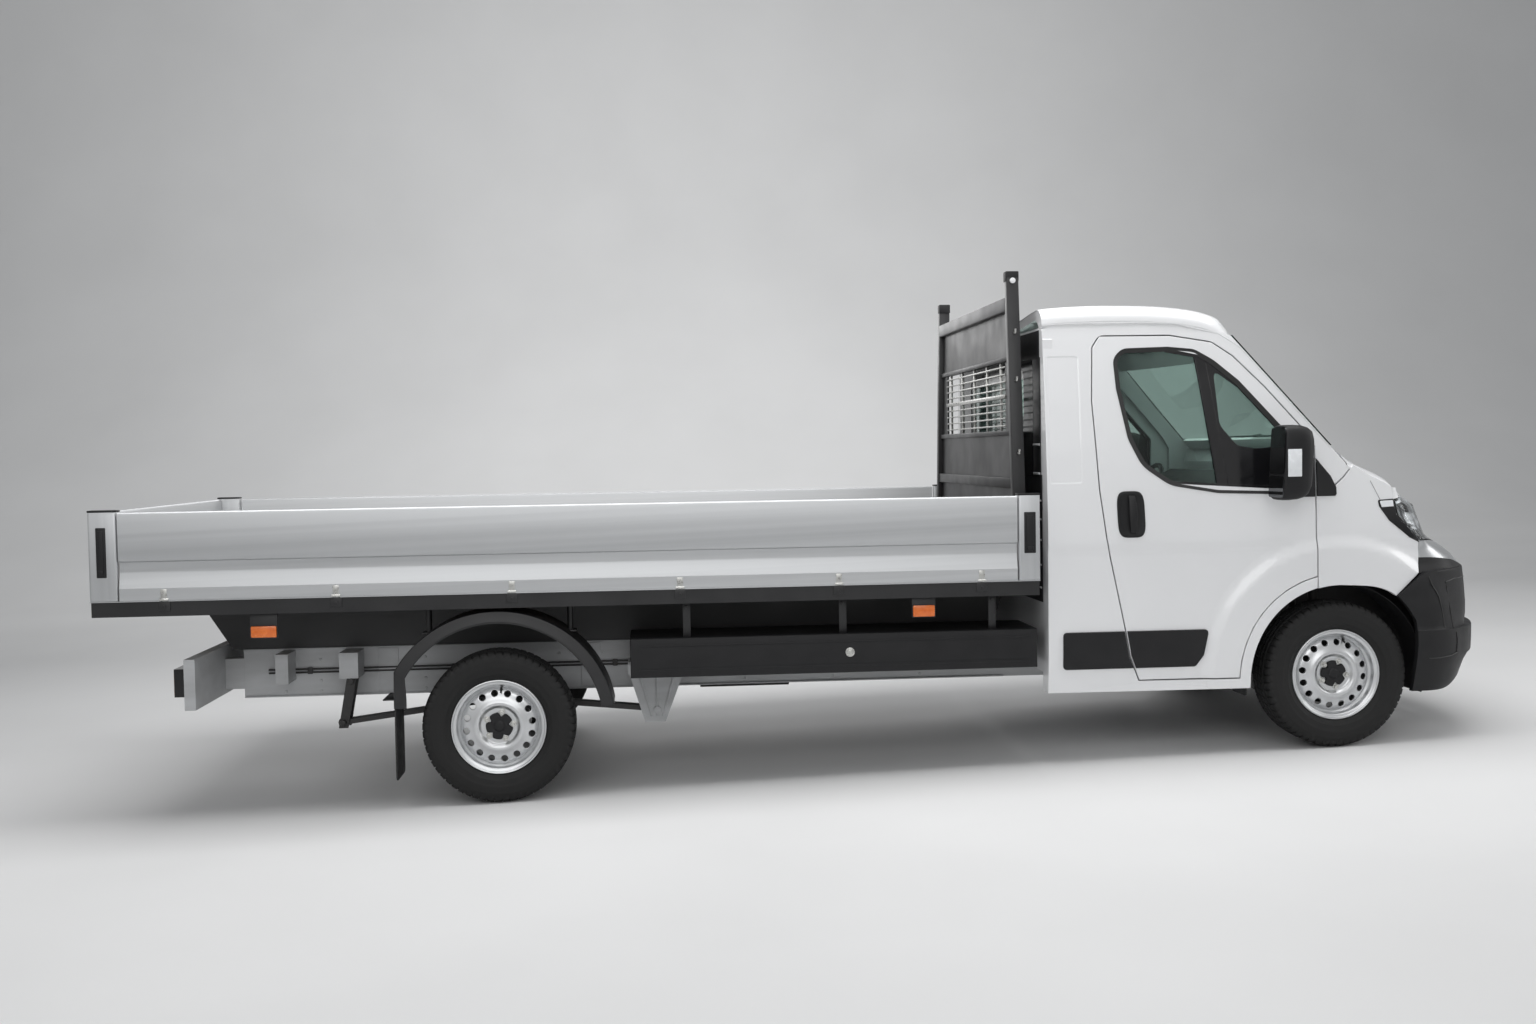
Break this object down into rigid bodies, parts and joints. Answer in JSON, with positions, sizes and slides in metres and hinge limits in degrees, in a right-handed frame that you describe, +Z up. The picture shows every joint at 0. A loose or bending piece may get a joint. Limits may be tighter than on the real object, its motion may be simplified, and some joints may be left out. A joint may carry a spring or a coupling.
{
  "type": "flatbed truck",
  "caption": "Light chassis-cab truck with a drop-side flatbed, slatted headboard, single rear wheels and long side tool lockers.",
  "frame": {"origin": "on the ground under the middle of the truck's bounding box", "axes": "+X forwards, +Y to the truck's left, +Z up; the wheels stand on Z = 0"},
  "size_m": [6.8064, 2.55, 2.3821],
  "materials": {
    "white_paint": "gloss",
    "black_plastic": "matte",
    "tinted_glass": "gloss",
    "silver_steel": "satin",
    "tyre_rubber": "matte",
    "cast_iron": "matte",
    "anodised_aluminium": "satin",
    "black_frame_paint": "satin",
    "grey_frame_paint": "satin",
    "deck_board": "matte",
    "cabin_trim": "matte",
    "lamp_lens": "gloss",
    "red_lens": "gloss"
  },
  "bodies": {
    "chassis": {"chassis_frame": "grey_frame_paint", "front_subframe": "black_frame_paint", "engine_block": "cast_iron", "rear_axle": "black_frame_paint", "exhaust": "cast_iron", "fuel_tank": "black_plastic", "cab_shell": "white_paint", "cab_floor": "white_paint", "fender_left": "white_paint", "fender_right": "white_paint", "front_bumper": "black_plastic", "grille": "black_plastic", "headlamp_left": "lamp_lens", "headlamp_right": "lamp_lens", "windscreen": "tinted_glass", "rear_window": "tinted_glass", "cowl": "black_plastic", "dashboard": "cabin_trim", "driver_seat": "cabin_trim", "passenger_bench": "cabin_trim", "bed_frame": "black_frame_paint", "bed_beam_left": "black_frame_paint", "bed_beam_right": "black_frame_paint", "bed_deck": "deck_board", "headboard": "black_frame_paint", "rear_beam": "grey_frame_paint", "post_rear_left": "anodised_aluminium", "post_rear_right": "anodised_aluminium", "post_front_left": "anodised_aluminium", "post_front_right": "anodised_aluminium", "mudguard_left": "black_frame_paint", "mudguard_right": "black_frame_paint", "locker_left": "black_plastic", "locker_right": "black_plastic", "tail_lamp_left": "red_lens", "tail_lamp_right": "red_lens"},
    "knuckle_left_body": {"knuckle_left": "cast_iron"},
    "knuckle_right_body": {"knuckle_right": "cast_iron"},
    "wheel_front_left": {"tyre_front_left": "tyre_rubber", "rim_front_left": "silver_steel"},
    "wheel_front_right": {"tyre_front_right": "tyre_rubber", "rim_front_right": "silver_steel"},
    "wheel_rear_left": {"tyre_rear_left": "tyre_rubber", "rim_rear_left": "silver_steel"},
    "wheel_rear_right": {"tyre_rear_right": "tyre_rubber", "rim_rear_right": "silver_steel"},
    "bonnet_body": {"bonnet": "white_paint"},
    "door_left_body": {"door_left": "white_paint", "door_glass_left": "tinted_glass", "mirror_left": "black_plastic"},
    "door_right_body": {"door_right": "white_paint", "door_glass_right": "tinted_glass", "mirror_right": "black_plastic"},
    "tailgate_body": {"tailgate": "anodised_aluminium"},
    "sideboard_left_body": {"sideboard_left": "anodised_aluminium"},
    "sideboard_right_body": {"sideboard_right": "anodised_aluminium"},
    "locker_lid_left_body": {"locker_lid_left": "black_plastic"},
    "locker_lid_right_body": {"locker_lid_right": "black_plastic"}
  },
  "joints": [
    {"name": "steer_left", "type": "hinge", "parent": "chassis", "child": "knuckle_left_body", "pos_m": [2.40698, 0.79863, 0.356], "axis": [0.0327, -0.1622, 0.9862], "range_deg": [-35, 35]},
    {"name": "steer_right", "type": "hinge", "parent": "chassis", "child": "knuckle_right_body", "pos_m": [2.40698, -0.79863, 0.356], "axis": [0.0327, 0.1622, 0.9862], "range_deg": [-35, 35]},
    {"name": "spin_front_left", "type": "hinge", "parent": "knuckle_left_body", "child": "wheel_front_left", "pos_m": [2.40698, 0.907, 0.356], "axis": [0, 1, 0], "continuous": true},
    {"name": "spin_front_right", "type": "hinge", "parent": "knuckle_right_body", "child": "wheel_front_right", "pos_m": [2.40698, -0.907, 0.356], "axis": [0, 1, 0], "continuous": true},
    {"name": "spin_rear_left", "type": "hinge", "parent": "chassis", "child": "wheel_rear_left", "pos_m": [-1.62802, 0.895, 0.356], "axis": [0, 1, 0], "continuous": true},
    {"name": "spin_rear_right", "type": "hinge", "parent": "chassis", "child": "wheel_rear_right", "pos_m": [-1.62802, -0.895, 0.356], "axis": [0, 1, 0], "continuous": true},
    {"name": "bonnet_hinge", "type": "hinge", "parent": "chassis", "child": "bonnet_body", "pos_m": [2.70963, 0, 1.39613], "axis": [0, -1, 0], "range_deg": [0, 50]},
    {"name": "door_left_hinge", "type": "hinge", "parent": "chassis", "child": "door_left_body", "pos_m": [2.30862, 1.043, 0.85954], "axis": [-0.0332, 0, -0.9995], "range_deg": [0, 70]},
    {"name": "door_right_hinge", "type": "hinge", "parent": "chassis", "child": "door_right_body", "pos_m": [2.30862, -1.043, 0.85954], "axis": [0.0332, 0, 0.9995], "range_deg": [0, 70]},
    {"name": "tailgate_hinge", "type": "hinge", "parent": "chassis", "child": "tailgate_body", "pos_m": [-3.40617, 0, 1.05112], "axis": [0, -1, 0], "range_deg": [0, 178]},
    {"name": "sideboard_left_hinge", "type": "hinge", "parent": "chassis", "child": "sideboard_left_body", "pos_m": [2.42362, 1.053, 0.85772], "axis": [-0.9995, 0, 0.0332], "range_deg": [0, 178]},
    {"name": "sideboard_right_hinge", "type": "hinge", "parent": "chassis", "child": "sideboard_right_body", "pos_m": [2.42362, -1.053, 0.85772], "axis": [0.9995, 0, -0.0332], "range_deg": [0, 178]},
    {"name": "locker_lid_left_hinge", "type": "hinge", "parent": "chassis", "child": "locker_lid_left_body", "pos_m": [2.40953, 1.001, 0.43296], "axis": [0.9995, 0, -0.0332], "range_deg": [-92, 0]},
    {"name": "locker_lid_right_hinge", "type": "hinge", "parent": "chassis", "child": "locker_lid_right_body", "pos_m": [2.40953, -1.001, 0.43296], "axis": [-0.9995, 0, 0.0332], "range_deg": [-92, 0]}
  ],
  "couplings": [
    {"joint": "steer_right", "follows": "steer_left", "ratio": 1}
  ]
}
